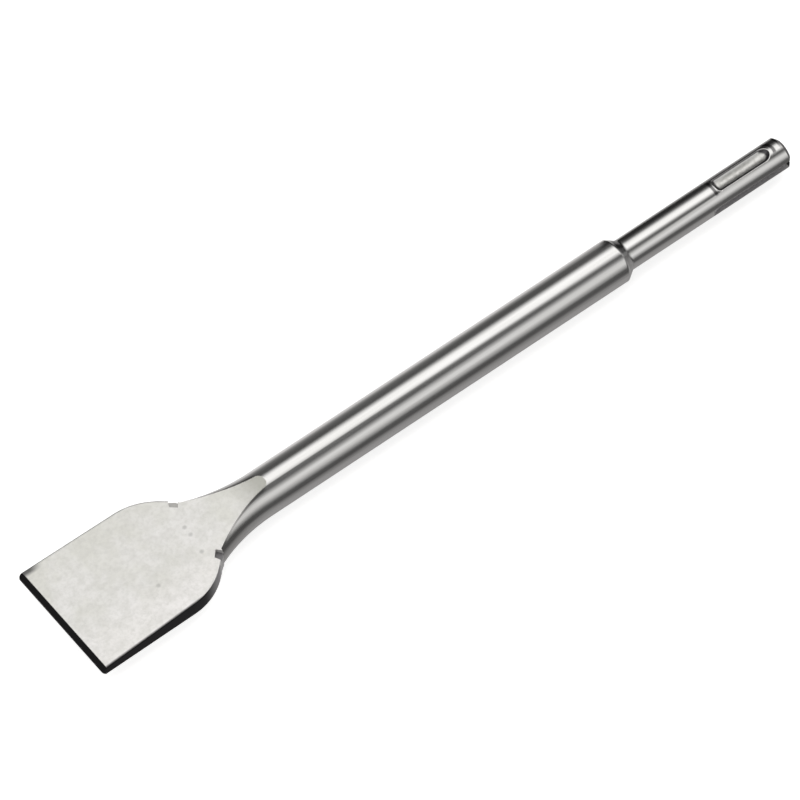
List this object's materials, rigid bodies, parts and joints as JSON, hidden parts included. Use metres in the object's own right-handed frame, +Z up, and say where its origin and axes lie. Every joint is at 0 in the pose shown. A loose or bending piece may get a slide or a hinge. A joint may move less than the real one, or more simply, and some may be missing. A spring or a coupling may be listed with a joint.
{
  "type": "flat chisel",
  "caption": "Wide flat chisel for a rotary hammer: round rod forged into a flared flat blade, with a stepped-down shank that has locking grooves and drive slots.",
  "frame": {"origin": "halfway along the tool, below its axis, on the surface that the rod lies on", "axes": "+X along the tool towards the struck end of the shank, +Y across the blade, +Z up, square to the blade's faces"},
  "size_m": [0.26, 0.04, 0.014],
  "materials": {
    "steel": "one forged and turned steel bar: polished round rod and shank, pale satin blade faces, dark side walls on the blade and a dark ground cutting bevel"
  },
  "bodies": {
    "root": {"flat_chisel": "steel"}
  },
  "joints": []
}
